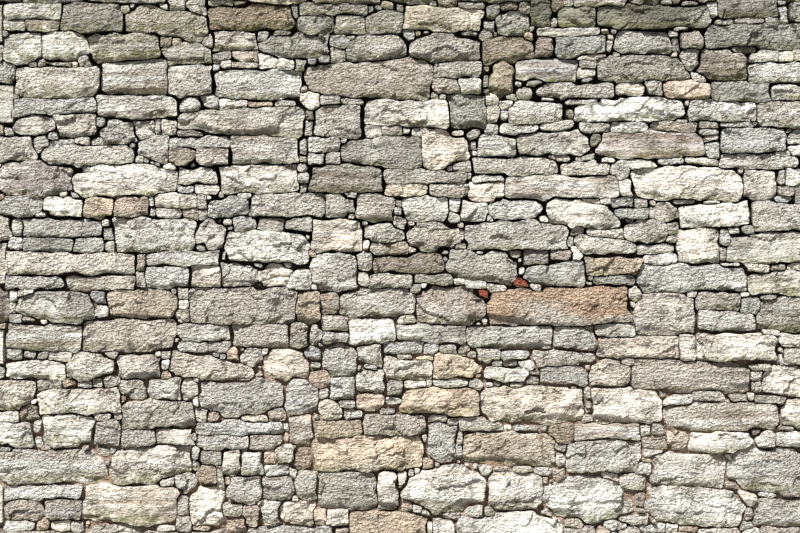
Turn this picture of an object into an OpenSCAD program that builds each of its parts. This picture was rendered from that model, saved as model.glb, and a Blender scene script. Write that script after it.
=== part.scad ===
// A free-standing double dry stone wall: two leaning faces of stone with a core of small
// hearting between them, tied together by long through stones, closed at both ends by wall
// heads of alternate ties and runners, and finished with a row of flat coping slabs.
// Millimetres. X runs along the wall, the front face looks towards -Y, and Z is up from the
// ground. The origin is on the ground, in the middle of the wall.

/* [Wall] */
// Length of one bay, the usual spacing of through stones
bay_length = 1000; // [800:50:1200]
// Number of bays in this stretch of wall
bays = 4; // [3:1:6]
// Height of the stone faces, from the ground to the underside of the coping
face_height = 2400; // [1900:20:2900]
// Thickness of the wall at the ground
base_thickness = 900; // [740:10:1100]
// Thickness of the wall under the coping
top_thickness = 540; // [440:10:640]

/* [Faces and core] */
// Depth of the stones in each face, from the face back to the hearting
skin_depth = 190; // [150:5:230]
// Number of lifts that the faces are raised in
lifts = 4; // [3:1:5]

/* [Through stones] */
// How far a through stone stands out of the front face
through_projection = 20; // [0:5:60]

/* [Wall heads] */
// Number of stones up each wall head: ties and pairs of runners in turn, with a tie last
head_levels = 15; // [9:2:19]
// Usual length of a tie along the wall
tie_length = 260; // [180:10:280]
// Usual length of a runner along the wall
runner_length = 400; // [380:10:480]
// How much a head stone's height and length may differ from the usual, as a share of it
head_variation = 0.14; // [0:0.02:0.14]
// Open joint between two stones that lie side by side
joint = 8; // [3:1:15]

/* [Coping] */
// Number of coping slabs
cope_slabs = 8; // [6:1:12]
// Thickness of the coping at its thickest slab
cope_thickness = 90; // [60:5:130]
// How much thinner than that the thinnest slab may be
cope_unevenness = 16; // [0:2:20]
// How far the coping stands out past each face
cope_overhang = 30; // [0:5:60]
// How much a slab's length may differ from the average, as a share of it
cope_variation = 0.16; // [0:0.02:0.3]

/* [Hidden] */
wall_length = bays * bay_length;
lift_height = face_height / lifts;
batter = (base_thickness - top_thickness) / 2 / face_height;
cope_width = top_thickness + 2 * cope_overhang;
front = -1;
back = 1;
left = -1;
right = 1;
// A cutter reaches this far past the surface that it cuts
past = 50;
// Head stones are measured to the nearest of these
step = 10;

// Each through stone: its shift along the wall from its bay line or bay middle, the height of
// its underside above the ground, its length along the wall and its thickness. A longer wall
// goes through its row's list again.
lower_throughs = [[40, 520, 300, 110], [-20, 496, 260, 80], [-104, 536, 288, 152]];
middle_throughs = [[-30, 1180, 340, 120], [-30, 1230, 430, 112]];
upper_throughs = [[-60, 1760, 320, 100], [30, 1730, 360, 110], [-76, 1744, 456, 100]];

// How far the faces stand from the wall's middle plane, at a height
function half_thickness(z) = base_thickness / 2 - batter * z;

// The bay lines inside the wall, for the lower and upper rows of through stones
function bay_line(i) = i * bay_length - wall_length / 2;
// The middles of the bays that have no wall head in them, for the middle row
function bay_middle(i) = (i + 0.5) * bay_length - wall_length / 2;

// Stone number i of a row, as [its start along the wall, its underside, its length, its thickness]
function placed(middle, row, i) =
    let (stone = row[(i - 1) % len(row)])
    [middle + stone[0] - stone[2] / 2, stone[1], stone[2], stone[3]];
function lower_through(i) = placed(bay_line(i), lower_throughs, i);
function middle_through(i) = placed(bay_middle(i), middle_throughs, i);
function upper_through(i) = placed(bay_line(i), upper_throughs, i);

line_numbers = [for (i = [1 : bays - 1]) i];
middle_numbers = [for (i = [1 : bays - 2]) i];
lift_numbers = [for (k = [1 : lifts]) k];
slab_numbers = [for (i = [1 : cope_slabs]) i];
level_numbers = [for (level = [0 : head_levels - 1]) level];
all_throughs = concat(
    [for (i = line_numbers) lower_through(i)],
    [for (i = middle_numbers) middle_through(i)],
    [for (i = line_numbers) upper_through(i)]
);

// The sum of a list's first numbers
function total(list, count) = count == 0 ? 0 : list[count - 1] + total(list, count - 1);

// Wall heads: their stones differ in height and length, and fill the height of the face exactly
function varied(count, seed) = rands(1 - head_variation, 1 + head_variation, count, seed);
left_heights = varied(head_levels, 11);
right_heights = varied(head_levels, 12);
left_lengths = varied(head_levels, 13);
right_lengths = varied(head_levels, 14);
function stepped(size) = round(size / step) * step;
function is_tie(level) = level % 2 == 0;
function level_low(end, level) =
    let (shares = end == left ? left_heights : right_heights)
    level == head_levels ? face_height
        : stepped(face_height * total(shares, level) / total(shares, head_levels));
function level_length(end, level) =
    let (shares = end == left ? left_lengths : right_lengths)
    stepped((is_tie(level) ? tie_length : runner_length) * shares[level]);

// Coping joints: slab lengths vary about their average and fill the wall's length exactly
slab_shares = rands(1 - cope_variation, 1 + cope_variation, cope_slabs, 7);
function slab_start(i) =
    wall_length * (total(slab_shares, i - 1) / total(slab_shares, cope_slabs) - 0.5);

// Slab thicknesses, the first slab being the thickest
slab_losses = rands(0, 1, cope_slabs, 8);
function slab_thickness(i) = cope_thickness - (i == 1 ? 0 : round(cope_unevenness * slab_losses[i - 1]));

// A profile of the wall's cross-section, in Y and Z, run along X from x to x + length
module along_wall(x, length)
    translate([x, 0, 0])
        rotate([90, 0, 90])
            linear_extrude(length)
                children();

// The whole cross-section between two heights, out to the faces, with a projection in front
module full_section(low, high, projection = 0)
    polygon([
        [-half_thickness(low) - projection, low],
        [half_thickness(low), low],
        [half_thickness(high), high],
        [-half_thickness(high) - projection, high]
    ]);

// One face's share of the cross-section between two heights, from the face back to the core
module skin_section(side, low, high)
    polygon([
        [side * half_thickness(low), low],
        [side * half_thickness(high), high],
        [side * (half_thickness(high) - skin_depth), high],
        [side * (half_thickness(low) - skin_depth), low]
    ]);

// The core's cross-section between two heights
module core_section(low, high)
    polygon([
        [-half_thickness(low) + skin_depth, low],
        [half_thickness(low) - skin_depth, low],
        [half_thickness(high) - skin_depth, high],
        [-half_thickness(high) + skin_depth, high]
    ]);

// One through stone, right across the wall, with its front end a little proud
module through_stone(stone)
    color("darkkhaki")
        along_wall(stone[0], stone[2])
            full_section(stone[1], stone[1] + stone[3], through_projection);

// What is modelled at the right end, put at one end or the other
module at_end(end)
    mirror([end == left ? 1 : 0, 0, 0])
        children();

// The ties of one wall head: every other level, right across the wall
module head_ties(end)
    color("tan")
        at_end(end)
            for (level = level_numbers)
                if (is_tie(level))
                    along_wall(wall_length / 2 - level_length(end, level), level_length(end, level))
                        full_section(level_low(end, level), level_low(end, level + 1));

// The runners of one wall head: a pair on every other level, one along each face
module head_runners(end)
    color("tan")
        at_end(end)
            for (level = level_numbers)
                if (!is_tie(level))
                    for (side = [front, back])
                        along_wall(wall_length / 2 - level_length(end, level), level_length(end, level))
                            intersection() {
                                full_section(level_low(end, level), level_low(end, level + 1));
                                translate([side * (base_thickness + joint) / 2, face_height / 2])
                                    square([base_thickness, face_height + 2 * past], center = true);
                            }

// The elevation between the two wall heads, toothed at both ends to fit round their stones
module toothed_elevation()
    polygon(concat(
        [for (level = level_numbers, top = [0, 1])
            [wall_length / 2 - level_length(right, level), tooth_corner(right, level + top)]],
        [for (i = level_numbers, top = [1, 0])
            let (level = head_levels - 1 - i)
            [-wall_length / 2 + level_length(left, level), tooth_corner(left, level + top)]]
    ));
// The height of a tooth's corner. The lowest and the highest run past the face.
function tooth_corner(end, level) =
    level == 0 ? -past : level == head_levels ? face_height + past : level_low(end, level);

// That elevation, made solid through the whole thickness of the wall
module between_heads()
    rotate([90, 0, 0])
        linear_extrude(base_thickness + 2 * past, center = true)
            toothed_elevation();

// Room for the through stones, cut past both faces
module room_for_throughs()
    for (stone = all_throughs)
        translate([stone[0], -base_thickness / 2 - past, stone[1]])
            cube([stone[2], base_thickness + 2 * past, stone[3]]);

// One lift of a face, toothed into the wall heads and fitted round the through stones
module face_lift(side, k)
    color("wheat")
        difference() {
            intersection() {
                along_wall(-wall_length / 2, wall_length)
                    skin_section(side, (k - 1) * lift_height, k * lift_height);
                between_heads();
            }
            room_for_throughs();
        }

// One lift of hearting between the faces
module hearting(k)
    color("dimgray")
        difference() {
            intersection() {
                along_wall(-wall_length / 2, wall_length)
                    core_section((k - 1) * lift_height, k * lift_height);
                between_heads();
            }
            room_for_throughs();
        }

// One coping slab, laid flat across the wall, with half an open joint at each side
module coping_slab(i)
    color("silver")
        translate([slab_start(i) + joint / 2, -cope_width / 2, face_height])
            cube([slab_start(i + 1) - slab_start(i) - joint, cope_width, slab_thickness(i)]);

for (k = lift_numbers) {
    face_lift(front, k);
    face_lift(back, k);
    hearting(k);
}
for (i = line_numbers) {
    through_stone(lower_through(i));
    through_stone(upper_through(i));
}
for (i = middle_numbers)
    through_stone(middle_through(i));
head_ties(left);  // left_head_ties
head_runners(left);  // left_head_runners
head_ties(right);  // right_head_ties
head_runners(right);  // right_head_runners
for (i = slab_numbers)
    coping_slab(i);
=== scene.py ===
"""The looks of the dry stone wall: face stones, pinnings, through stones, wall heads and coping.

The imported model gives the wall's sizes and the places of its through stones, wall heads and coping.
Each face is laid here stone by stone. The stones that can be seen on the real wall are in
SEEN_STONES, and the rest of both faces is laid by rule, in rough courses with small pinnings.
Lengths are in metres, except in SEEN_STONES.
"""

import math

import bpy
import numpy as np
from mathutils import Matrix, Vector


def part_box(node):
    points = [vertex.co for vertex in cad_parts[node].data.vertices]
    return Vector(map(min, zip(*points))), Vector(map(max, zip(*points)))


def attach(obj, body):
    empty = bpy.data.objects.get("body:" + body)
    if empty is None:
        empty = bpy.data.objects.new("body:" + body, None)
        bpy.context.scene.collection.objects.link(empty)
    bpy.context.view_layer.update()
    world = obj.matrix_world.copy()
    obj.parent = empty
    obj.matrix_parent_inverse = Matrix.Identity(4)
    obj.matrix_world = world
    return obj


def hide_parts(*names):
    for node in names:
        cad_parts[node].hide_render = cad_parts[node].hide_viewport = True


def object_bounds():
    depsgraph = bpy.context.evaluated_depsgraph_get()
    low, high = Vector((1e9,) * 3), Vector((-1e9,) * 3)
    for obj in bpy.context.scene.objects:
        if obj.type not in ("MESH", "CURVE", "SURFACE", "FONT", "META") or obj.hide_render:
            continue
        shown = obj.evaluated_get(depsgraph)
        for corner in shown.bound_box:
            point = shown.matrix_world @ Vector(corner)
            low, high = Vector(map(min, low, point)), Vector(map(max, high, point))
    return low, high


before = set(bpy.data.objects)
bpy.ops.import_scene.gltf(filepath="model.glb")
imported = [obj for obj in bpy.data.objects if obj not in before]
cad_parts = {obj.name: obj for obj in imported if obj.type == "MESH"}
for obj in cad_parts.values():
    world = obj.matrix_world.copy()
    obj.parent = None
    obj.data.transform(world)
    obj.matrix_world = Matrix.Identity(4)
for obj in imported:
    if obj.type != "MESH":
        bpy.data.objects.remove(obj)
cad_low, cad_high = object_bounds()

CM = 0.01

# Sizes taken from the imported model
LIFTS = 4
wall_end = cad_high[0]
base_half = -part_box("front_lift_1")[0].y
top_lift_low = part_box(f"front_lift_{LIFTS}")[0]
batter = (base_half + top_lift_low.y) / top_lift_low.z
face_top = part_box(f"front_lift_{LIFTS}")[1].z
lift_height = face_top / LIFTS
THROUGHS = sorted(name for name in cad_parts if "_through_" in name)
SLABS = sorted(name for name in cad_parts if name.startswith("coping_slab_"))
HEADS = sorted(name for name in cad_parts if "_head_" in name)

# How finely the stones are meshed, on the seen face and elsewhere
FRONT_GRID = 0.0069
BACK_GRID = 0.0165
HEAD_GRID = 0.03
COPE_GRID = 0.02

# Edges sharper than this stay crisp
SHARP_ANGLE = math.radians(34)

# Joints: the narrowest and widest gap between neighbours, and how far a stone grows to close one
JOINT_LEAST = 0.002
JOINT_MOST = 0.014
GROWTH = 0.016
# How far the joints wander from straight lines
JOINT_WANDER = 0.004

# Courses laid by rule: their heights, the lowest that may stay, and how far their beds sag
COURSE_HEIGHTS = (0.09, 0.16)
LOWEST_COURSE = 0.05
SAG = 0.014
# The lengths of their stones, as a multiple of the height, the shortest gap that a stone is laid in,
# the shortest piece of a gap that is left for a stone, and the longest stone
STONE_LENGTHS = (1.2, 3.6)
SHORTEST_GAP = 0.07
SHORTEST_REST = 0.08
LONGEST_STONE = 0.5
# Room left for pinnings, over a stone and beside it, and how often
ROOM_OVER = (0.02, 0.04)
OFTEN_OVER = 0.4
ROOM_BESIDE = (0.02, 0.045)
OFTEN_BESIDE = 0.3
# How often one tall stone gives way to three smaller ones, and the least height for that
OFTEN_THREE = 0.25
THREE_HEIGHT = 0.1
# Pinnings: the cells that holes are searched in, and the most cells that one adds each way
PIN_CELL = 0.007
PIN_ALONG = 12
PIN_UP = 5
# How deep a face stone reaches into the wall, and the deepest that its front lies behind the face
STONE_DEPTH = 0.12
DEEPEST = 0.036
# The packing of earth and chips: how far its front usually lies behind the face, how far its back
# does, the least and the most for its front, and how finely it is meshed
PACKING_DEPTH = 0.065
PACKING_BACK = 0.16
PACKING_RANGE = (0.026, 0.09)
PACKING_GRID = 0.022
# Earth soils the joints below this height
SOILED_BELOW = 1.3
# The stones get darker above this height, fully so that much further up: algae, and painted shade from the
# ivy over the wall's top
DARK_FROM = 1.85
DARK_OVER = 0.35
# How far the packing stays from the wall's ends, behind the shortest head stone
HEAD_COVER = 0.2
# How far the stones beside a head stone reach over its rounded end
HEAD_OVERLAP = 0.012

# What differs from stone to stone, each between two values: how far facets stand out, the slopes up
# and along the face, the thickness of the bedding layers and how far they stand out, and how strong
# the dark bands and the stains are
HABITS = {
    "rough": (0.006, 0.013),
    "lean": (-0.1, 0.05),
    "turn": (-0.03, 0.03),
    "layer": (0.012, 0.034),
    "layering": (0.0005, 0.0045),
    "banding": (0.1, 0.6),
    "stain": (0.1, 0.7),
}

# Stone colours as seen on the wall, in 0 to 255 sRGB
TONES = {
    "pale": (242, 238, 229),
    "cream": (243, 236, 224),
    "white": (246, 244, 238),
    "grey": (216, 213, 204),
    "dark": (164, 162, 144),
    "tan": (230, 214, 192),
    "orange": (240, 208, 178),
    "brown": (206, 194, 178),
    "purple": (206, 200, 196),
    "pink": (224, 211, 198),
    "brick": (188, 104, 84),
    "earth": (228, 208, 190),
}
# The tones that stones laid by rule may have, and how common each is
COMMON_TONES = ["pale", "cream", "white", "grey", "tan", "purple", "pink", "brown"]
TONE_SHARES = [0.42, 0.16, 0.13, 0.14, 0.05, 0.04, 0.04, 0.02]
# The tones where the wall is seen to be paler, at the right and near the ground
PALE_SHARES = [0.44, 0.22, 0.2, 0.08, 0.03, 0.01, 0.02, 0.0]
# The tones of a seen stone that has no tone of its own in SEEN_STONES
SEEN_SHARES = [0.48, 0.2, 0.15, 0.15, 0.02, 0.0, 0.0, 0.0]

# The stones seen on the real wall, from the top down, in centimetres from the wall's middle and
# from the ground: left end, right end, underside, top, then a shape unless it is a block, and a tone
# where it matters.
SEEN_STONES = [
    # Top row, dark with algae and painted shade
    (53, 61, 213, 224, "dark"), (64, 79, 213, 221, "dark"), (70, 92, 221, 229, "grey"),
    (80, 126, 212, 222, "dark"), (125, 128, 217, 223), (128, 154, 217, 228, "grey"),
    (154, 158, 214.5, 221.5), (158, 172, 215, 224, "grey"), (127.5, 135, 214.5, 216.5),
    (135.5, 147, 214.5, 217), (148.5, 153.5, 214.5, 217),
    # Long grey stone at the right, with a cluster of pinnings beside it
    (55, 81, 209.5, 212.5), (81, 85, 210.5, 213), (62, 83.5, 201, 209.5, "grey"), (83, 85.5, 202.5, 208),
    (85.5, 110, 202, 212, "round", "grey"), (110, 118.5, 211, 214.5), (109, 113, 208.5, 212),
    (113, 122.5, 204, 212.5, "cream"), (110, 113, 203, 208.5), (113.5, 121.5, 195.5, 205, "lens", "cream"),
    (123, 172, 204.5, 214.5, "grey"), (134, 144, 202, 205.5, "dark"), (141, 153, 199, 203, "cream"),
    (153, 159, 198.5, 203), (46, 72.5, 191, 200, "purple"), (73, 79, 196.5, 199.5),
    (71, 78.5, 192.5, 196.5), (71, 79, 190, 192.5), (71.5, 84, 200, 202.5), (86, 89.5, 201, 203),
    (78.5, 116.5, 190.5, 202, "hump", "grey"), (120, 140.5, 191, 204.5, "round", "brown"),
    (119, 124, 190.5, 194), (140, 173, 190, 199), (51, 58.5, 189, 192), (47, 53.5, 184.5, 189),
    (54.5, 86.5, 183.5, 191), (86.5, 99.5, 185, 189.5, "lens"), (99, 105.5, 185, 191),
    (106.5, 125, 183.5, 191, "pink"), (125, 150, 182, 190.5), (150.5, 172, 183, 190, "white"),
    (54, 64, 182.5, 185),
    # Layered white stone beside the upper through stone
    (19, 35, 171.5, 186, "grey"), (35.5, 40, 174, 181), (43, 68, 173.5, 182.5, "ridge_left"),
    (66, 84, 180, 185, "wedge_right"), (66, 70, 176, 180), (115.5, 144.5, 174.5, 184, "white"),
    (144, 173, 172.5, 183), (111, 116, 173.5, 176), (40.5, 55.5, 169, 173), (56, 69, 170.5, 174.5),
    (73.5, 85, 169.5, 174), (85.5, 99, 170, 174.5), (102, 120.5, 170.5, 175), (120.5, 128.5, 172, 175),
    (120, 128.5, 169, 172), (129, 144.5, 171.5, 174.5), (31, 47, 160, 169, "grey"),
    (47, 77, 160.5, 171, "grey"), (77, 82.5, 165, 170.5, "round", "dark"),
    (79, 123, 159.5, 170.5, "purple"), (123, 128.5, 166.5, 169.5), (123.5, 128.5, 159, 166.5),
    (129, 156, 162, 172, "white"), (156.5, 172, 165.5, 170), (156.5, 173, 160, 165), (59, 68.5, 158.5, 161),
    (71, 77.5, 158.5, 161), (79, 86, 157.5, 160), (102.5, 113.5, 157.5, 159.5), (114.5, 128, 157, 160),
    (150.5, 157.5, 160.5, 163), (128.5, 160, 155.5, 161.5, "white"), (29, 64, 153.5, 160.5),
    (64.5, 84, 153, 158.5), (85, 91.5, 151, 158.5, "round"), (92.5, 104, 155, 159, "lens"),
    (91, 138, 142.5, 156.5, "round", "white"), (138, 152, 143, 155.5, "pale"), (151.5, 154.5, 149.5, 155.5),
    (154.5, 172, 148, 156), (152.5, 159, 144, 148), (29, 42.5, 150, 153),
    (42.5, 88, 143, 152.5, "slab", "white"), (27, 41.5, 142.5, 150), (88, 93.5, 144, 151),
    # Courses over the middle through stone
    (24.5, 35, 134.5, 142.5), (36.5, 58, 135, 143.5, "lens"), (58, 90, 131, 142.5, "slope_right", "grey"),
    (73, 80, 141.5, 143.5), (85, 93.5, 139.5, 143.5), (94, 99.5, 140, 143), (84, 100, 134.5, 139.5),
    (100, 113, 134.5, 141, "lens"), (110, 119, 141, 143), (121, 129.5, 141, 143.5),
    (150, 158.5, 141, 144.5), (90, 95, 133, 135), (111.5, 140.5, 132, 142, "pale"),
    (141, 173, 130.5, 142, "pale"), (56, 60, 133, 136.5), (69, 74, 129, 132.5), (74, 89.5, 127.5, 131.5),
    (89.5, 108, 125.5, 135, "hex"), (107, 111.5, 129.5, 134), (110, 129, 117, 131.5, "pale"),
    (128, 132.5, 125, 131.5), (131, 137, 129.5, 132), (136, 141.5, 129.5, 133),
    (131, 173, 117.5, 129.5, "grey"), (69.5, 95, 121, 128, "slope_right"), (95, 109.5, 121.5, 125.5),
    (97.5, 111, 116.5, 121.5, "lens"), (29, 35, 120.5, 123), (49, 59.5, 117, 122.5, "purple"),
    (60, 68.5, 118, 122.5, "pink"), (68.5, 73, 118, 125), (19, 49, 109.5, 122.5, "ridge_right", "grey"),
    (73.5, 97, 112.5, 120.5, "lens", "tan"), (-12, 3, 121, 125.5), (-11.5, 17.5, 113.5, 121, "brown"),
    (-12.5, 5, 108, 114), (6, 21, 109.5, 113.5), (49, 75.5, 108, 118, "wedge_left", "grey"),
    (94.5, 139.5, 106, 117, "pale"), (129, 136, 116, 118), (137, 148.5, 113, 117.5),
    (148.5, 154.5, 114.5, 117), (139, 173, 104.5, 114.5), (77, 93.5, 108.5, 112.5, "wedge_left"),
    (26.5, 34.5, 107.5, 110.5), (34, 42.5, 105.5, 109.5), (52, 58, 105.5, 108.5),
    (45, 51, 108.5, 111.5, "brick"), (31, 35.5, 103.5, 107, "brick"),
    # The big orange stone and its neighbours
    (-24, 6, 96, 107, "cream"), (5.5, 34.5, 93.5, 108.5, "round", "pink"), (35.5, 93, 93, 108, "orange"),
    (93, 118.5, 89, 105.5, "round", "pale"), (115, 120, 104, 106.5), (118.5, 137, 99, 106.5),
    (119, 141.5, 90, 98.5), (136, 146, 97, 103.5), (143.5, 151, 102, 105), (142, 173, 90.5, 103.5, "pale"),
    (-0.5, 6, 92.5, 97.5), (-32, -21, 91, 96.5), (-31, -21, 86, 90.5), (-21, -2, 85.5, 95, "pale"),
    (-1.5, 26.5, 86, 93), (26.5, 61, 83.5, 92.5, "pale"), (61, 78.5, 82.5, 92, "pale"),
    (78, 94, 88, 93, "wedge_left"), (79, 112, 79.5, 88, "brown"), (112, 117, 78.5, 88.5),
    (117.5, 151, 78, 89.5, "pale"), (151.5, 173, 83.5, 89), (144.5, 151, 89, 91.5), (153, 173, 77.5, 83.5),
    (-32, -17, 71.5, 86, "round", "pale"), (-16.5, -7, 77.5, 85, "wedge_left"), (-7, 9.5, 81.5, 86),
    (9.5, 15, 81.5, 85), (-1, 5, 79, 81.5), (6, 13, 79, 81), (-6.5, 13, 71, 79.5, "pale"),
    (13, 33, 71.5, 80.5, "wedge_right", "tan"), (30.5, 40, 78.5, 83), (40, 52, 78.5, 83),
    (53, 78, 76.5, 83, "wedge_right"), (37, 41, 76.5, 79), (41, 47, 75.5, 79), (47, 55, 75, 78.5),
    (33, 52, 70.5, 76.5, "lens"), (55, 75, 68.5, 76.5, "round", "grey"),
    (75.5, 91, 67.5, 80, "hump", "cream"), (92.5, 140.5, 66.5, 78.5, "slab", "pale"), (135, 148, 75, 78),
    (139, 144.5, 71, 74.5), (143, 173, 65, 76.5, "hump", "pale"), (-28, -18, 63, 72.5), (-5.5, 1, 65, 70.5),
    (-0.5, 31, 57.5, 68, "tan"), (13, 27, 67.5, 72, "lens", "grey"), (27, 33, 67.5, 71),
    (32, 73.5, 53.5, 68.5, "cream"), (43.5, 49.5, 67.5, 70.5), (66.5, 72, 66.5, 69),
    # Courses over the lower through stones
    (103, 107, 64, 66.5), (105, 116, 60.5, 65), (116.5, 128, 62.5, 66.5), (132, 138.5, 62, 65),
    (141, 154, 61, 65), (105, 151, 51, 62, "slab", "pale"), (151.5, 173, 52, 64), (-5, 9, 61, 64),
    (-8, -1.5, 57, 60), (-22, -15, 55, 59.5), (-35, -15.5, 49, 55, "tan"), (11, 23, 39, 54, "grey"),
    (11, 19, 54.5, 58), (23, 41, 51, 55.5), (45, 55, 50.5, 54), (59, 69.5, 46.5, 53.5, "wedge_left", "tan"),
    (69.5, 95, 47.5, 53.5, "slab"), (95.5, 100, 49, 53), (100.5, 106, 49, 53.5),
    (96.5, 107, 43.5, 49, "pink"), (105.5, 115, 43, 51.5, "ridge_right", "pink"), (97, 105, 41, 44),
    (115, 141, 42.5, 50.5), (141.5, 149.5, 43, 50.5, "round"), (149.5, 173, 45, 50.5), (149, 157, 50.5, 53),
    (-35, 10, 35, 48.5, "tan"), (23.5, 63.5, 37, 50.5, "tan"), (65, 97, 34.5, 47.5, "hump", "pale"),
    (93, 99, 34, 38.5), (98.5, 130, 28, 42, "pale"), (130.5, 173, 25.5, 44, "ridge_right", "pale"),
    (-54, -44, 32, 37), (-44, -40.5, 32, 36.5), (-67.5, -55, 22.5, 33), (-55, -42, 24, 33),
    (-41, -33, 23.5, 35.5), (-70, -62.5, 18, 22), (-33, -9, 20, 34.5, "grey"), (-8.5, -0.5, 19, 34.5),
    (-0.5, 3, 28.5, 35), (0.5, 34.5, 18.5, 37.5, "hex", "pale"), (31, 37, 32, 37),
    (35, 56.5, 20, 34.5, "pale"), (45, 52.5, 34.5, 37.5), (53.5, 60, 33.5, 37),
    (56, 95, 15.5, 33.5, "hex", "pale"), (80, 87, 31.5, 34.5), (87, 97, 29, 34), (55, 60.5, 17, 22),
    (97, 138, 13.5, 29.5, "ridge_right", "pale"), (139.5, 173, 12.5, 24.5, "pale"), (134, 141.5, 22, 27),
    (142, 150.5, 24.5, 26.5), (86, 98, 14.5, 18), (81.5, 89.5, 12, 15), (95, 105, 10.5, 14),
    (135, 140, 12, 15), (-21, 11.5, 5, 19, "tan"), (13, 21, 8, 16.5), (16, 23, 15.5, 18.5),
    (21.5, 65, 4, 18.5, "hump", "pale"), (65, 72, 13, 17), (65, 78, 6, 12.5), (118, 134.5, 5, 13),
    (136, 142, 7, 12.5),
]

# Shapes: how much is missing from the upper and from the lower corners, along and across the stone
# as shares of its half height, how much it narrows towards its right end, and its tilt in degrees
SHAPES = {
    "block": ((0.5, 0.32), (0.5, 0.32), 0.0, 0.0),
    "slab": ((0.35, 0.22), (0.35, 0.22), 0.0, 0.0),
    "lens": ((2.4, 0.8), (2.0, 0.75), 0.0, 0.0),
    "round": ((1.1, 0.7), (0.9, 0.65), 0.0, 0.0),
    "hump": ((2.6, 0.7), (0.5, 0.35), 0.0, 0.0),
    "hex": ((1.6, 0.95), (1.3, 0.9), 0.0, 0.0),
    "wedge_left": ((0.8, 0.5), (0.6, 0.4), -0.35, 0.0),
    "wedge_right": ((0.8, 0.5), (0.6, 0.4), 0.35, 0.0),
    "ridge_left": ((1.6, 0.6), (0.8, 0.4), 0.15, 4.0),
    "ridge_right": ((1.2, 0.6), (0.8, 0.5), 0.0, -6.0),
    "slope_right": ((1.4, 0.6), (1.0, 0.5), 0.2, -8.0),
}
# How common each shape is among the stones laid by rule
SHAPE_SHARES = [0.36, 0.08, 0.1, 0.1, 0.08, 0.08, 0.06, 0.06, 0.04, 0.02, 0.02]


def linear(colour):
    """A 0 to 255 sRGB colour in the linear values that shaders take."""
    c = np.asarray(colour, float) / 255.0
    return np.where(c <= 0.04045, c / 12.92, ((c + 0.055) / 1.055) ** 2.4)


def half_thickness(z):
    """How far the faces stand from the wall's middle plane at height z."""
    return base_half - batter * z


def top_algae_and_shade(z):
    """How dark the stones are at height z, from 0 to 1 near the top of the wall: algae and painted shade.
    """
    return min(max(z - DARK_FROM, 0) / DARK_OVER, 1)


def lattice(ix, iy, iz, seed):
    """A repeatable number from -1 to 1 for each lattice point."""
    h = ix * 374761393 + iy * 668265263 + iz * 1440662683 + seed * 974634777
    h &= 0xFFFFFFFF
    h = ((h ^ (h >> 13)) * 1274126177) & 0xFFFFFFFF
    h ^= h >> 16
    return (h & 0xFFFF) / 32767.5 - 1.0


def noise(x, y, z, seed):
    """Smooth noise from -1 to 1, with features about 1 across."""
    x, y, z = np.broadcast_arrays(x, y, z)
    ix, iy, iz = (np.floor(v).astype(np.int64) for v in (x, y, z))
    fx, fy, fz = x - ix, y - iy, z - iz
    wx, wy, wz = (f * f * (3 - 2 * f) for f in (fx, fy, fz))
    total = 0.0
    for dx in (0, 1):
        for dy in (0, 1):
            for dz in (0, 1):
                weight = (wx if dx else 1 - wx) * (wy if dy else 1 - wy) * (wz if dz else 1 - wz)
                total = total + weight * lattice(ix + dx, iy + dy, iz + dz, seed)
    return total


def fractal(x, y, z, size, octaves, seed):
    """Noise with features from size down, each octave about half the size and half the strength."""
    total = 0.0
    strength = 1.0
    for octave in range(octaves):
        total = total + strength * noise(x / size, y / size, z / size, seed + octave)
        size /= 2.03
        strength /= 2.0
    return total


def facets(s, z, size, seed):
    """Broken facets about that large, each with its own height and slope, from about -1 to 1."""
    u = s / size + 0.35 * noise(s / (0.5 * size), seed, z / (0.5 * size), seed)
    v = z / (0.6 * size) + 0.35 * noise(s / (0.5 * size), seed, z / (0.5 * size), seed + 1)
    cell_u, cell_v = np.floor(u).astype(np.int64), np.floor(v).astype(np.int64)
    nearest = np.full(u.shape, 9.0)
    height = np.zeros(u.shape)
    for step_u in (-1, 0, 1):
        for step_v in (-1, 0, 1):
            i, j = cell_u + step_u, cell_v + step_v
            to_u = u - i - 0.5 - 0.45 * lattice(i, j, 1, seed)
            to_v = v - j - 0.5 - 0.45 * lattice(i, j, 2, seed)
            away = to_u**2 + to_v**2
            slopes = to_u * lattice(i, j, 4, seed) + to_v * lattice(i, j, 5, seed)
            here = away < nearest
            height = np.where(here, 0.5 * lattice(i, j, 3, seed) + 1.2 * slopes, height)
            nearest = np.where(here, away, nearest)
    return height


def around(points):
    """The points that lie on the convex outline of them all, anticlockwise."""
    points = sorted(points)
    halves = []
    for run in (points, points[::-1]):
        half = []
        for point in run:
            while len(half) > 1:
                (s0, z0), (s1, z1) = half[-2:]
                if (s1 - s0) * (point[1] - z0) - (z1 - z0) * (point[0] - s0) > 1e-9:
                    break
                half.pop()
            half.append(point)
        halves += half[:-1]
    return np.array(halves)


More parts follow.
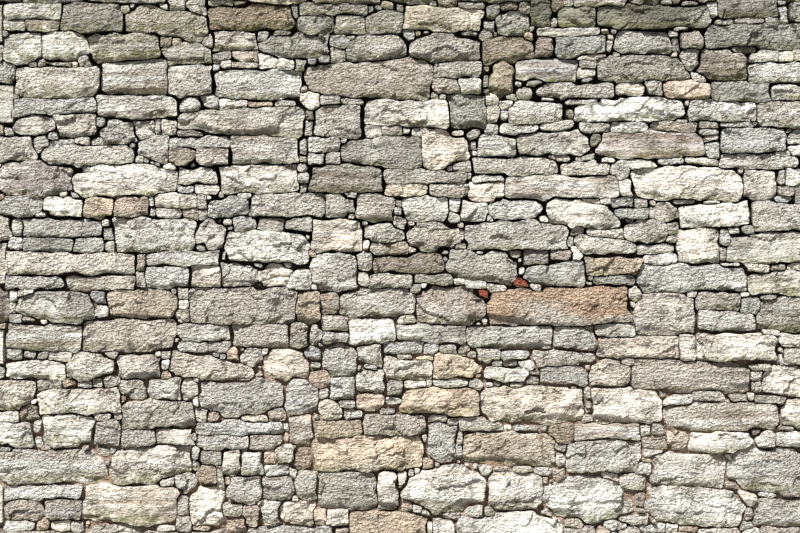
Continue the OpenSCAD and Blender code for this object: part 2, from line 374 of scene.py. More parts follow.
class Stone:
    """One stone in a face: its box, outline and tone. s runs along the face, as seen from outside.

    a and b are half its length and half its height, and kind is seen, face, pin or head, or the name
    of a through stone.
    """

    def __init__(self, box, shape="block", tone=None, kind="face"):
        self.low_s, self.high_s, self.low_z, self.high_z = box
        self.kind = kind
        self.tone = tone
        self.shape = shape
        self.s = (self.low_s + self.high_s) / 2
        self.z = (self.low_z + self.high_z) / 2
        self.a = (self.high_s - self.low_s) / 2
        self.b = (self.high_z - self.low_z) / 2
        upper, lower, taper, tilt = SHAPES[shape]
        rng = np.random.default_rng(int(9000 * (self.s + 9)) + int(700 * self.z))
        if kind in ("seen", "face"):
            tilt += rng.uniform(-1, 1) * min(math.degrees(0.16 * self.b / self.a), 3.0)
        self.cos = math.cos(math.radians(tilt))
        self.sin = math.sin(math.radians(tilt))
        if kind == "head":
            self.sides = [(1, 0, self.a), (-1, 0, self.a), (0, 1, self.b), (0, -1, self.b)]
        else:
            self.sides = self.straight_sides(upper, lower, taper, rng)

    def straight_sides(self, upper, lower, taper, rng):
        """The outline as straight sides, each an outward direction and how far out the side lies."""
        corners = []
        for right, up, cut in ((1, -1, lower), (1, 1, upper), (-1, 1, upper), (-1, -1, lower)):
            along = min(cut[0] * rng.uniform(0.3, 1.0) * self.b, 0.85 * self.a)
            across = cut[1] * rng.uniform(0.3, 1.0) * self.b
            narrow = 1 - taper * right
            lean = rng.uniform(0.0, min(0.35 * self.b / self.a, 0.15))
            sag = rng.uniform(0.0, 0.2)
            corners.append((right * self.a * (1 - lean), up * (self.b - across) * narrow))
            corners.append((right * (self.a - along), up * self.b * narrow * (1 - sag)))
        for up in (-1, 1):
            middle = self.a * rng.uniform(-0.5, 0.5)
            corners.append((middle, up * self.b * (1 - taper * middle / self.a)))
        here = around(corners)
        way = np.roll(here, -1, axis=0) - here
        way /= np.linalg.norm(way, axis=1, keepdims=True)
        out = np.column_stack([way[:, 1], -way[:, 0]])
        return [(u, v, u * p + v * q) for (u, v), (p, q) in zip(out, here)]

    def distance(self, s, z):
        """About how far a point lies outside the stone's outline, negative inside."""
        ds, dz = s - self.s, z - self.z
        u = ds * self.cos + dz * self.sin
        v = dz * self.cos - ds * self.sin
        result = -9.0
        for out_u, out_v, reach in self.sides:
            result = np.maximum(result, out_u * u + out_v * v - reach)
        return result


def seen_stone(row):
    """The stone of a row in SEEN_STONES."""
    box = tuple(CM * size for size in row[:4])
    shape = next((name for name in row[4:] if name in SHAPES), "block")
    tone = next((name for name in row[4:] if name in TONES), None)
    return Stone(box, shape, tone, kind="seen")


def solids_of(name):
    """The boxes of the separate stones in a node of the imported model, from the ground up."""
    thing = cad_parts[name]
    places = np.array([thing.matrix_world @ vertex.co for vertex in thing.data.vertices]).round(4)
    corners, number = np.unique(places, axis=0, return_inverse=True)
    number = number.ravel()
    owner = np.arange(len(corners))
    faces = [number[list(face.vertices)] for face in thing.data.polygons]
    # Corners that share a face get the same owner, until nothing changes any more
    changed = True
    while changed:
        changed = False
        for face in faces:
            least = owner[face].min()
            changed = changed or bool((owner[face] != least).any())
            owner[face] = least
    parts = [corners[owner == label] for label in np.unique(owner)]
    return sorted(((part.min(axis=0), part.max(axis=0)) for part in parts), key=lambda box: box[0][2])


def near(stone, other, reach):
    """Whether the boxes of two stones lie within reach of each other."""
    return (
        abs(stone.s - other.s) < stone.a + other.a + reach
        and abs(stone.z - other.z) < stone.b + other.b + reach
    )


def head_stones(side):
    """The rectangles that the wall heads take up in a face, which its stones are fitted to."""
    stones = []
    for name in HEADS:
        for low, high in solids_of(name):
            if max(side * low[1], side * high[1]) > 0.05:
                span = sorted((-side * low[0], -side * high[0]))
                inner = 0 if span[0] > 0 else 1
                span[inner] += HEAD_OVERLAP if inner == 0 else -HEAD_OVERLAP
                stones.append(Stone((*span, low[2], high[2]), "slab", kind="head"))
    return stones


def through_stones(side):
    """The ends of the through stones in a face. side is -1 in front and 1 behind."""
    stones = []
    for name in THROUGHS:
        low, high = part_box(name)
        span = sorted((-side * low.x, -side * high.x))
        shape, tone = ("lens", "white") if name == "upper_through_3" else ("block", "pale")
        stones.append(Stone((*span, low.z, high.z), shape, tone, kind=name))
    return stones


def lay_courses(placed, rng):
    """Fills a face with rough courses wherever no stone is placed yet."""
    laid = []
    z = 0.0
    while z < face_top - 0.03:
        height = min(rng.uniform(*COURSE_HEIGHTS), face_top - z)
        if face_top - z - height < LOWEST_COURSE:
            height = face_top - z
        s = -wall_end
        while s < wall_end - 0.04:
            # The placed stones that stand in this course's way, further along
            ahead = [
                t for t in placed
                if t.high_s > s + 0.01
                and min(t.high_z, z + height) - max(t.low_z, z) > 0.3 * min(height, 2 * t.b)
            ]
            wall_ahead = min((t.low_s for t in ahead), default=wall_end)
            if wall_ahead - s < SHORTEST_GAP:
                blocking = [t for t in ahead if t.low_s < s + SHORTEST_GAP]
                s = max(t.high_s for t in blocking) if blocking else wall_end
                continue
            length = height * rng.uniform(*STONE_LENGTHS)
            if wall_ahead - s - length < SHORTEST_REST:
                length = min(wall_ahead - s, LONGEST_STONE)
            sag = rng.uniform(-SAG, SAG, 2)
            low, high = max(z + sag[0], 0.0), z + height + sag[1]
            # Some stones leave room for pinnings over them or beside them
            if rng.random() < OFTEN_OVER:
                high -= rng.uniform(*ROOM_OVER)
            right = s + length - (rng.uniform(*ROOM_BESIDE) if rng.random() < OFTEN_BESIDE else 0.0)
            if rng.random() < OFTEN_THREE and high - low > THREE_HEIGHT:
                split = low + (high - low) * rng.uniform(0.35, 0.65)
                middle = s + length * rng.uniform(0.4, 0.6)
                laid.append(Stone((s, right, split, high)))
                laid.append(Stone((s, middle, low, split), rng.choice(["block", "lens"])))
                laid.append(Stone((middle, right, low, split)))
            else:
                shape = rng.choice(list(SHAPES), p=SHAPE_SHARES)
                laid.append(Stone((s, right, low, high), shape))
            s += length
        z += height
    return laid


def pinnings(stones):
    """Small stones for every hole that the others leave, the widest hole first."""
    cell = PIN_CELL
    columns = round(2 * wall_end / cell)
    rows = round(face_top / cell)
    s = (np.arange(columns) + 0.5) * cell - wall_end
    z = (np.arange(rows) + 0.5) * cell
    free = np.ones((columns, rows), bool)
    for stone in stones:
        i = slice(*np.searchsorted(s, (stone.low_s - 0.02, stone.high_s + 0.02)))
        j = slice(*np.searchsorted(z, (stone.low_z - 0.02, stone.high_z + 0.02)))
        free[i, j] &= stone.distance(s[i, None], z[None, j]) > 0.006
    pins = []
    for least in (5, 4, 3, 2, 1):
        # The cells that have so many free cells round them
        room = np.pad(free, 1)
        inner = free.copy()
        for _ in range(least):
            inner = (
                room[1:-1, 1:-1] & room[:-2, 1:-1] & room[2:, 1:-1] & room[1:-1, :-2] & room[1:-1, 2:]
            )
            room = np.pad(inner, 1)
        for i, j in np.argwhere(inner):
            if not inner[i, j]:
                continue
            # The pinning takes up as many of them as it can, to the right and then up
            right = i
            while right + 1 < columns and inner[right + 1, j] and right - i < PIN_ALONG:
                right += 1
            up = j
            while up + 1 < rows and inner[i:right + 1, up + 1].all() and up - j < PIN_UP:
                up += 1
            grow = least + 0.3
            box = (
                s[i] - grow * cell, s[right] + grow * cell,
                max(z[j] - grow * cell, 0.0), min(z[up] + grow * cell, face_top),
            )
            flat = right - i + 2 * grow > 1.5 * (up - j + 2 * grow)
            shapes = ("slab", "wedge_left", "lens", "wedge_right") if flat else ("block", "hex", "block")
            shape = shapes[(i + j) % len(shapes)]
            pin = Stone(box, shape, kind="pin")
            # Some small holes stay open
            if least > 2 or (i + 3 * j) % 6 > 0:
                pins.append(pin)
            reach = least + 1
            inner[max(i - reach, 0):right + reach + 1, max(j - reach, 0):up + reach + 1] = False
            i0, j0 = max(i - least - 2, 0), max(j - least - 2, 0)
            i1, j1 = right + least + 3, up + least + 3
            inside = pin.distance(s[i0:i1, None], z[None, j0:j1]) <= 0.004
            free[i0:i1, j0:j1] &= ~inside
    return pins


def square_loop(nu, nv):
    """Grid places round the edge of a square grid, anticlockwise from its lower left corner."""
    bottom = [(i, 0) for i in range(nu)]
    right = [(nu, j) for j in range(nv)]
    top = [(i, nv) for i in range(nu, 0, -1)]
    left = [(0, j) for j in range(nv, 0, -1)]
    return np.array(bottom + right + top + left)


def edge_lines(count):
    """Grid lines from -1 to 1, closer together near both ends, where stones round over."""
    t = np.linspace(-1, 1, count + 1)
    return t + 0.06 * np.sin(math.pi * t)


def outline(stone, neighbours, u_edge, v_edge, rng):
    """How far the stone reaches along each ray to its edge, as a share of its half sizes.

    It ends where it has grown as far as it may, or where the joint with a neighbour begins.
    """
    steps = np.arange(0.35, 1.75, 0.035)
    ray_s = stone.a * u_edge * stone.cos - stone.b * v_edge * stone.sin
    ray_z = stone.a * u_edge * stone.sin + stone.b * v_edge * stone.cos
    s = stone.s + ray_s[:, None] * steps
    z = stone.z + ray_z[:, None] * steps
    wander_s = s + JOINT_WANDER * fractal(s, 0.0, z, 0.045, 2, 7)
    wander_z = z + JOINT_WANDER * fractal(s, 0.0, z, 0.045, 2, 8)
    ragged = 1 + 0.9 * noise(s / 0.03, 0.0, z / 0.03, 15)
    own = stone.distance(wander_s, wander_z)
    past = own - GROWTH
    past = np.maximum(past, np.maximum(-z, z - face_top))
    for other in neighbours:
        gap = (JOINT_LEAST + (JOINT_MOST - JOINT_LEAST) * rng.random() ** 2) * ragged
        past = np.maximum(past, own + gap - other.distance(wander_s, wander_z))
    # The ray ends between the last step that is free and the first that isn't
    blocked = past > 0
    blocked[:, -1] = True
    first = np.argmax(blocked, axis=1)
    first = np.maximum(first, 1)
    rows = np.arange(len(first))
    before, after = past[rows, first - 1], past[rows, first]
    share = np.clip(before / (before - after + 1e-9), 0, 1)
    reach = steps[first - 1] + share * (steps[1] - steps[0])
    reach = (np.roll(reach, 1) + 3 * reach + np.roll(reach, -1)) / 5
    length = np.hypot(ray_s, ray_z)
    edge_s, edge_z = stone.s + ray_s * reach, stone.z + ray_z * reach
    size = min(stone.b, 0.05)
    rough = fractal(edge_s, stone.seed * 0.37, edge_z, size, 3, 11)
    return reach + (rough - 0.3) * 0.06 * size / length


def face_stone(stone, neighbours, grid, rng):
    """The front of a face stone as a grid of points: their places on the face as s and z, and within
    the stone as u and v, from -1 to 1, and then which of them lie round its edge."""
    # Pinnings are meshed a little finer
    grid = 0.8 * grid if stone.kind == "pin" else grid
    nu = max(4, round(2 * stone.a / grid))
    nv = max(4, round(2 * stone.b / grid))
    lines_u, lines_v = edge_lines(nu), edge_lines(nv)
    loop = square_loop(nu, nv)
    u_edge, v_edge = lines_u[loop[:, 0]], lines_v[loop[:, 1]]
    reach = outline(stone, neighbours, u_edge, v_edge, rng)
    u, v = np.meshgrid(lines_u, lines_v, indexing="ij")
    size = np.maximum(np.abs(u), np.abs(v)) + 1e-9
    angle = np.arctan2(v / size, u / size)
    edge_angle = np.arctan2(v_edge, u_edge)
    order = np.argsort(edge_angle)
    reach_here = np.interp(angle, edge_angle[order], reach[order], period=2 * math.pi)
    blend = size**2
    reach_here = blend * reach_here + (1 - blend) * reach.mean()
    reach_here[loop[:, 0], loop[:, 1]] = reach
    du, dv = u * stone.a * reach_here, v * stone.b * reach_here
    s = stone.s + du * stone.cos - dv * stone.sin
    z = stone.z + du * stone.sin + dv * stone.cos
    return s, z, u, v, loop


def relief(stone, s, z, u, v, rng):
    """How far each point of a stone's front stands out from the wall's face."""
    seed = int(stone.seed)
    small = min(stone.b, 0.07)
    to_end = (1 - np.abs(u)) * stone.a + 1e-5
    to_side = (1 - np.abs(v)) * stone.b + 1e-5
    to_edge = (to_end**-3 + to_side**-3) ** (-1 / 3)
    # A sharp arris, chipped away in places
    chipped = fractal(s, seed * 0.71, z, 0.05, 3, seed + 5)
    radius = small * np.clip(0.05 + 0.14 * chipped, 0.02, 0.35)
    inward = np.clip(1 - to_edge / radius, 0, 1)
    drop = radius * (1 - np.sqrt(1 - inward * inward + 1e-9))
    # Split planes: over the top, underneath, at the ends, and a few anywhere
    bent_u = u + 0.1 * noise(s / 0.06, seed, z / 0.06, seed + 6)
    bent_v = v + 0.14 * noise(s / 0.05, seed, z / 0.05, seed + 7)
    planes = [(90, 0.3, 1.0), (270, 0.6, 1.4), (270, 0.3, 0.8), (0, 0.2, 0.9), (180, 0.2, 0.9)]
    planes += [(rng.uniform(0, 360), 0.15, 0.7) for _ in range(4)]
    for turn, least, most in planes:
        deepest = (0.4 if turn == 270 else 0.22) * small
        turn = math.radians(turn + rng.uniform(-22, 22))
        reach = stone.a * abs(math.cos(turn)) + stone.b * abs(math.sin(turn))
        along = bent_u * stone.a * math.cos(turn) + bent_v * stone.b * math.sin(turn)
        plane = rng.uniform(least, most) * (along - rng.uniform(0.5, 0.95) * reach)
        drop = np.maximum(drop, np.minimum(plane, deepest))
    # Bedding layers, each standing a little in front of or behind the next
    wave = z + 0.012 * noise(s / 0.13, seed, z / 0.3, seed)
    thick = stone.layer
    level = wave / thick + 0.35 * noise(s / 0.05, seed, z / 0.05, seed + 3)
    index = np.floor(level)
    part = level - index
    soft = np.clip((part - 0.75) / 0.25, 0, 1)
    offset = (
        lattice(index.astype(np.int64), seed, 0, 9) * (1 - soft)
        + lattice(index.astype(np.int64) + 1, seed, 0, 9) * soft
    )
    layers = stone.layering * offset
    lumps = 0.003 * fractal(s, seed, z, 0.08, 2, seed + 20)
    rough = stone.rough * (1.0 * facets(s, z, 0.1, seed + 30) + 0.4 * facets(s, z, 0.035, seed + 60))
    lean = stone.lean * (z - stone.z) + stone.turn * (s - stone.s)
    out = stone.out - drop + layers + (lumps + rough) * np.clip(small / 0.04, 0.4, 1) + lean
    return np.maximum(out, -DEEPEST)


def put(name, data):
    """An object in the scene that holds a mesh, a lamp or a camera."""
    made = bpy.data.objects.new(name, data)
    bpy.context.scene.collection.objects.link(made)
    return made


class Shell:
    """The stones of one visible piece, each as points, triangles and two colours for each point."""

    def __init__(self):
        self.stones = []

    def add(self, points, triangles, tones, marks, number):
        """marks hold moss (on face stones' undersides also painted shade), earth and banding, each from 0
        to 1, and number moves the stone's pattern.
        """
        numbers = np.full((len(points), 1), number)
        self.stones.append((points, triangles, np.hstack([tones, numbers]), np.hstack([marks, numbers])))

    def piece(self, name, material, slot, nodes):
        """Makes the mesh object, and hides the imported nodes that it stands for."""
        points, triangles, tones, marks = zip(*self.stones)
        starts = np.cumsum([0] + [len(some) for some in points[:-1]])
        moved = [some + start for some, start in zip(triangles, starts)]
        mesh = bpy.data.meshes.new(name)
        mesh.from_pydata(np.concatenate(points), [], np.concatenate(moved))
        for title, colours in (("tone", tones), ("marks", marks)):
            made = mesh.color_attributes.new(title, "FLOAT_COLOR", "POINT")
            made.data.foreach_set("color", np.concatenate(colours).astype(np.float32).ravel())
        mesh.shade_smooth()
        mesh.set_sharp_from_angle(angle=SHARP_ANGLE)
        mesh.materials.append(material)
        made = put(name, mesh)
        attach(made, "root")
        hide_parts(*nodes)


def grid_triangles(nu, nv):
    """Two triangles for each cell of a grid whose points run along v first."""
    i, j = np.meshgrid(np.arange(nu), np.arange(nv), indexing="ij")
    a = (i * (nv + 1) + j).ravel()
    b, c, d = a + nv + 1, a + nv + 2, a + 1
    return np.concatenate([np.column_stack([a, b, c]), np.column_stack([a, c, d])])


def ring_triangles(near_ring, far_ring):
    """The band between two rings of points, seen from outside the stone."""
    a, b = near_ring, np.roll(near_ring, -1)
    c, d = far_ring, np.roll(far_ring, -1)
    return np.concatenate([np.column_stack([a, c, b]), np.column_stack([b, c, d])])


def closing_triangles(ring, count, rings):
    """Bands from a front's edge back through some more rings of points, then a fan to a last point."""
    triangles = []
    for _ in range(rings):
        here = np.arange(count, count + len(ring))
        triangles.append(ring_triangles(ring, here))
        ring = here
        count += len(ring)
    centre = np.full(len(ring), count)
    triangles.append(np.column_stack([ring, centre, np.roll(ring, -1)]))
    return triangles


def on_face(side, s, z, out):
    """Points of a face in the wall's frame. side is -1 in front and 1 behind."""
    # Nothing stands out past the foot of the wall
    out = np.minimum(out, batter * z - 0.001)
    return np.stack([-side * s, side * (half_thickness(z) + out), z], axis=-1)


def tone_of(stone, rng):
    """A stone's own colour: its tone, with a little chance in its lightness and warmth."""
    name = stone.tone
    if name is None:
        pale = stone.s > 0.7 or stone.z < 0.75
        shares = PALE_SHARES if pale else TONE_SHARES
        name = rng.choice(COMMON_TONES, p=SEEN_SHARES if stone.kind == "seen" else shares)
    # Darker near the top: algae and painted shade
    lightness = (1 + rng.uniform(-0.1, 0.06)) * (1 - 0.24 * top_algae_and_shade(stone.z))
    warmth = rng.uniform(-0.03, 0.03)
    return linear(TONES[name]) * lightness * np.array([1 + warmth, 1, 1 - warmth])


def moss_and_underside_shade(side, s, z, v):
    """How green and dark a stone is: algae with painted shade on undersides, and algae all over near the
    top of the wall.
    """
    near_top = np.clip((z - 1.75) / 0.6, 0, 1)
    # Undersides darken and turn green: algae and painted shade
    under = np.clip(-v, 0, 1) ** 1.5
    patches = fractal(s, side * 3.1, z, 0.35, 3, 71)
    return np.clip(0.7 * near_top + under * (1.3 + near_top) + 0.5 * patches - 0.25, 0, 1)


def marks_of(side, s, z, u, v, stone):
    """Moss with painted shade on undersides, earth and banding for each point of a stone's front."""
    moss = moss_and_underside_shade(side, s, z, v) * (0.3 if stone.tone == "orange" else 1.0)
    low_down = np.clip((1.2 - z) / 0.6, 0, 1)
    edge = np.maximum(np.abs(u), np.abs(v))
    round_edge = 0.25 * np.clip((edge - 0.85) / 0.15, 0, 1)
    on_top = 0.4 * np.clip((v - 0.35) / 0.5, 0, 1)
    earth = np.maximum(round_edge, on_top) * low_down
    return np.stack([moss, earth, np.full(s.shape, stone.banding)], axis=-1)


def add_face_stone(shell, side, stone, neighbours, grid, rng, depth):
    """Builds one face stone, closed, with its sides running back into the wall."""
    s, z, u, v, loop = face_stone(stone, neighbours, grid, rng)
    out = relief(stone, s, z, u, v, rng)
    nu, nv = s.shape[0] - 1, s.shape[1] - 1
    front = on_face(side, s, z, out).reshape(-1, 3)
    ring = loop[:, 0] * (nv + 1) + loop[:, 1]
    triangles = [grid_triangles(nu, nv)] + closing_triangles(ring, len(front), 2)
    points = [front]
    # Two rings run back into the wall, each drawn in towards the stone's middle
    edge_s, edge_z, edge_out = s.ravel()[ring], z.ravel()[ring], out.ravel()[ring]
    for back, shrink in ((0.3 * depth, 0.985), (depth, 0.8)):
        ring_s = stone.s + (edge_s - stone.s) * shrink
        ring_z = stone.z + (edge_z - stone.z) * shrink
        points.append(on_face(side, ring_s, ring_z, np.minimum(edge_out, 0) - back))
    points.append(on_face(side, np.array([stone.s]), np.array([stone.z]), np.array([-depth])))
    soiled = min(max(SOILED_BELOW - stone.z, 0.0), 1.0)
    marks = [marks_of(side, s, z, u, v, stone).reshape(-1, 3)]
    marks.append(np.tile([0.1, 0.6 * soiled, stone.banding], (2 * len(ring) + 1, 1)))
    points = np.concatenate(points)
    points[:, 2] = np.clip(points[:, 2], 0.0, face_top - 0.001)
    tones = np.tile(tone_of(stone, rng), (len(points), 1))
    stain = 1.5 * fractal(s, stone.seed * 0.9, z, 0.12, 3, 91) - 0.1
    if stone.tone == "orange":
        stain = stain + 3.0 * np.clip(-v - 0.4, 0, 1)
    stain = (stone.stain * np.clip(stain, 0, 1)).reshape(-1, 1)
    tones[:len(front)] += stain * (linear(TONES[stone.stain_tone]) - tones[:len(front)])
    # Painted shade darkens the sides in the joints, less so low down, where earth soils them
    tones[len(front):] *= 0.35 + 0.25 * soiled
    shell.add(points, np.concatenate(triangles), tones, np.concatenate(marks), stone.seed / 9000)


def settle(stone, rng):
    """Gives a stone its own way of lying in the face."""
    stone.seed = int(rng.integers(1, 9000))
    pin = stone.kind == "pin" or stone.b < 0.025
    stone.out = rng.uniform(-0.014, 0.004) if pin else rng.uniform(-0.008, 0.01)
    for habit, span in HABITS.items():
        setattr(stone, habit, rng.uniform(*span))
    stone.stain_tone = rng.choice(["white", "cream", "pale", "grey"])
    if stone.tone == "orange":
        stone.stain, stone.stain_tone = 1.0, "cream"
    if stone.tone == "purple" or stone.shape == "slab":
        stone.banding = 0.95
        stone.layering = 0.003
        stone.rough = 0.003
    # Near the ground many holes are filled with earth
    if stone.kind == "pin" and rng.random() < 0.3 - 0.3 * stone.z:
        stone.tone = "earth"
        stone.out = rng.uniform(-0.02, -0.01)
    if stone.kind in THROUGHS:
        stone.out = rng.uniform(0.006, 0.012)


def packing(shell, side, lift):
    """The earth and chips behind the stones of one lift of a face."""
    inner_end = wall_end - HEAD_COVER
    columns = round(2 * inner_end / PACKING_GRID)
    rows = round(lift_height / PACKING_GRID)
    s = np.linspace(-inner_end, inner_end, columns + 1)[:, None]
    z = np.linspace((lift - 1) * lift_height, lift * lift_height, rows + 1)[None, :]
    s, z = np.broadcast_arrays(s, z)
    chips = fractal(s, side * 5.0, z, 0.06, 3, 40)
    low_down = np.clip((1.25 - z) / 0.6, 0, 1)
    full = low_down * np.clip(0.7 + 0.6 * fractal(s, side * 2.0, z, 0.4, 2, 50), 0, 1)
    least, most = PACKING_RANGE
    out = np.clip(-PACKING_DEPTH + 0.012 * chips + 0.038 * full, -most, -least)
    loop = square_loop(columns, rows)
    ring = loop[:, 0] * (rows + 1) + loop[:, 1]
    middle_z = (lift - 0.5) * lift_height
    all_s = np.concatenate([s.ravel(), s.ravel()[ring], [0.0]])
    all_z = np.concatenate([z.ravel(), z.ravel()[ring], [middle_z]])
    all_out = np.concatenate([out.ravel(), np.full(len(ring) + 1, -PACKING_BACK)])
    points = on_face(side, all_s, all_z, all_out)
    triangles = [grid_triangles(columns, rows)] + closing_triangles(ring, s.size, 1)
    light = 1 + 0.25 * fractal(all_s, side, all_z, 0.05, 3, 60)
    below = SOILED_BELOW - all_z
    # Near black above the soiled height, as painted shade in the deep joints; earth colour is added lower
    # down
    tones = linear((60, 50, 42)) + np.clip(below, 0, 0.6)[:, None] * linear((168, 140, 116))
    tones = tones * light[:, None]
    nothing = np.zeros(len(points))
    marks = np.stack([nothing, np.clip(0.7 * below, 0, 0.6), nothing], axis=-1)
    shell.add(points, np.concatenate(triangles), tones, marks, 0.0)


def build_face(side, seen, grid, seed, paint):
    """Lays one face of the wall, and makes a piece for each lift. Returns its through stones."""
    rng = np.random.default_rng(seed)
    heads = head_stones(side)
    throughs = through_stones(side)
    fixed = heads + throughs + seen
    stones = throughs + seen + lay_courses(fixed, rng)
    stones += pinnings(heads + stones)
    for stone in stones:
        settle(stone, rng)
    shells = {key: Shell() for key in [*range(1, LIFTS + 1), *THROUGHS]}
    blockers = heads + stones
    for stone in stones:
        neighbours = [other for other in blockers if other is not stone and near(stone, other, 0.04)]
        if stone.kind in THROUGHS:
            key, depth = stone.kind, half_thickness(stone.z)
        else:
            key, depth = min(LIFTS, 1 + int(stone.z / lift_height)), STONE_DEPTH
        add_face_stone(shells[key], side, stone, neighbours, grid, rng, depth)
    face = "front" if side < 0 else "back"
    for lift in range(1, LIFTS + 1):
        packing(shells[lift], side, lift)
        shells[lift].piece(f"{face}_stones_{lift}", paint, "face_stone", [f"{face}_lift_{lift}"])
    return {name: shells[name] for name in THROUGHS}


def block_surface(size, grid):
    """Points and triangles of a box from -1 to 1 each way, with grid cells about that large."""
    points = {}
    order = []
    triangles = []
    counts = [max(3, round(length / grid)) for length in size]
    lines = [edge_lines(count) for count in counts]

    def number(i, j, k):
        """The number of a corner of the grid, whose point is made when it is first met."""
        if (i, j, k) not in points:
            points[i, j, k] = len(order)
            order.append((lines[0][i], lines[1][j], lines[2][k]))
        return points[i, j, k]

    for axis in range(3):
        first, second = (axis + 1) % 3, (axis + 2) % 3
        for side in (0, counts[axis]):
            for p in range(counts[first]):
                for q in range(counts[second]):
                    corners = []
                    for dp, dq in ((0, 0), (1, 0), (1, 1), (0, 1)):
                        place = [0, 0, 0]
                        place[axis], place[first], place[second] = side, p + dp, q + dq
                        corners.append(number(*place))
                    if side == 0:
                        corners.reverse()
                    triangles.append((corners[0], corners[1], corners[2]))
                    triangles.append((corners[0], corners[2], corners[3]))
    return np.array(order), np.array(triangles)


def add_block(shell, low, high, tone, seed, grid, leaning=True, rough=1.0, moss=0.0):
    """A roughly squared stone that fills a box, with split faces. It may lean in with the wall."""
    size = high - low
    middle = (low + high) / 2
    unit, triangles = block_surface(size, grid)
    place = unit * size / 2
    x, y, z = (place + middle).T
    radius = np.clip(0.01 + 0.01 * fractal(x, y, z, 0.1, 2, seed + 9), 0.004, 0.025)[:, None]
    inner = np.clip(place, -(size / 2 - radius), size / 2 - radius)
    way = place - inner
    way = way / np.maximum(np.linalg.norm(way, axis=1, keepdims=True), 1e-9)
    # Split facets on each side, bedding layers, and a little bulge in the middle of each side
    split = facets(x + y, z + 0.4 * y, 0.09, seed + 3) + 0.5 * facets(x - y, z + 0.3 * x, 0.035, seed + 5)
    layers = noise(x / 0.2, y / 0.2, z / 0.06, seed + 15)
    bulge = np.sort(np.abs(unit), axis=1)[:, 1] ** 3
    inward = 0.009 + 0.006 * split + 0.002 * layers + 0.008 * bulge
    inward = rough * np.maximum(inward, 0)[:, None] * way
    # The beds stay nearly flat, so that the stones sit close
    inward[:, 2] *= 0.2
    wander = np.stack([fractal(x, y, z, 0.2, 2, seed + k) for k in range(3)], axis=-1)
    surface = inner + radius * way - inward + 0.004 * rough * wander
    points = np.clip(surface + middle, low, high)
    if leaning:
        points[:, 1] *= half_thickness(points[:, 2]) / half_thickness(low[2])
    up = np.clip(way[:, 2], 0, 1)
    green = np.clip(moss * up + 0.5 * fractal(x, y, z, 0.3, 3, 77) - 0.15, 0, 1)
    marks = np.stack([green * (moss > 0), np.zeros(len(x)), np.full(len(x), 0.4)], axis=-1)
    shell.add(points, triangles, np.tile(tone, (len(points), 1)), marks, seed / 9000)


def build_heads(material, rng):
    """The ties and runners of both wall heads, with an uneven bed under and over each stone."""
    for name in HEADS:
        shell = Shell()
        for low, high in solids_of(name):
            raised = 0.0 if low[2] < 0.001 else rng.uniform(0.0, 0.003)
            trim = np.array([rng.uniform(0, 0.01), 0.0, 0.0])
            low = low + np.array([0.0, 0.0, raised]) + (trim if low[0] < 0 else 0)
            high = high - np.array([0.0, 0.0, rng.uniform(0.0, 0.003)]) - (trim if high[0] > 0 else 0)
            tone = linear(TONES[rng.choice(["pale", "cream", "grey", "tan", "white"])])
            # Darker near the top: algae and painted shade
            tone = tone * rng.uniform(0.8, 0.98) * (1 - 0.3 * top_algae_and_shade(low[2]))
            add_block(shell, low, high, tone, int(rng.integers(1, 9000)), HEAD_GRID)
        shell.piece(name[:-1] + "_stones", material, "head_stone", [name])


def build_coping(material, rng):
    """The coping slabs, split and uneven, with moss on top."""
    for name in SLABS:
        low, high = (np.array(corner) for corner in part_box(name))
        high[2] -= rng.uniform(0.0, 0.004)
        shell = Shell()
        tone = linear(TONES[rng.choice(["dark", "dark", "grey"])]) * rng.uniform(0.6, 0.8)
        add_block(shell, low, high, tone, int(rng.integers(1, 9000)), COPE_GRID, False, 1.3, 0.6)
        shell.piece(name + "_stone", material, "coping_stone", [name])


def fill(tree, socket, value):
    """Gives a node's input a value, or joins it to another node's output."""
    if isinstance(value, bpy.types.NodeSocket):
        tree.links.new(value, socket)
    else:
        socket.default_value = value


def add_node(tree, kind, *inputs, **named):
    """A new node, with its inputs in their order, and other inputs or settings by name."""
    made = tree.nodes.new("ShaderNode" + kind)
    for title, value in named.items():
        if title in made.inputs:
            fill(tree, made.inputs[title], value)
        else:
            setattr(made, title, value)
    for socket, value in zip(made.inputs, inputs):
        fill(tree, socket, value)
    return made


def noise_node(tree, vector, scale, detail=4.0, roughness=0.55):
    """Noise from 0 to 1, with features about 1 / scale across."""
    made = add_node(tree, "TexNoise", Vector=vector, Scale=scale, Detail=detail, Roughness=roughness)
    return made.outputs["Fac"]


def stretched(tree, vector, along, up):
    """The place with one scale along the ground and another upwards."""
    made = add_node(tree, "Mapping", Vector=vector, Scale=(along, along, up))
    return made.outputs["Vector"]


def moved_on(tree, number, steps, vector):
    """The place with the steps added to it, times a number or, each by its own, times a colour."""
    made = add_node(tree, "VectorMath", number, steps, vector, operation="MULTIPLY_ADD")
    return made.outputs["Vector"]


def warped(tree, vector, scale, amount):
    """The place pushed about by noise."""
    push = add_node(tree, "TexNoise", Vector=vector, Scale=scale)
    return moved_on(tree, push.outputs["Color"], (amount, amount, amount), vector)


def cells(tree, vector, scale, detail=0.0):
    """How far the place is from the middle of its cell, with cells about 1 / scale across."""
    made = add_node(tree, "TexVoronoi", Vector=vector, Scale=scale, Detail=detail)
    return made.outputs["Distance"]


def ramp(tree, value, low, high, to_low=0.0, to_high=1.0):
    """A value's way from low to high, as a way from to_low to to_high."""
    return add_node(tree, "MapRange", value, low, high, to_low, to_high).outputs["Result"]


def maths(tree, kind, first, second):
    """A sum on two values, each a number or a socket."""
    return add_node(tree, "Math", first, second, operation=kind).outputs[0]


def centred(tree, value):
    """A value between 0 and 1, moved to lie about 0."""
    return maths(tree, "SUBTRACT", value, 0.5)


def added(tree, first, second, times):
    """The first value and so many times the second."""
    return maths(tree, "ADD", first, maths(tree, "MULTIPLY", second, times))


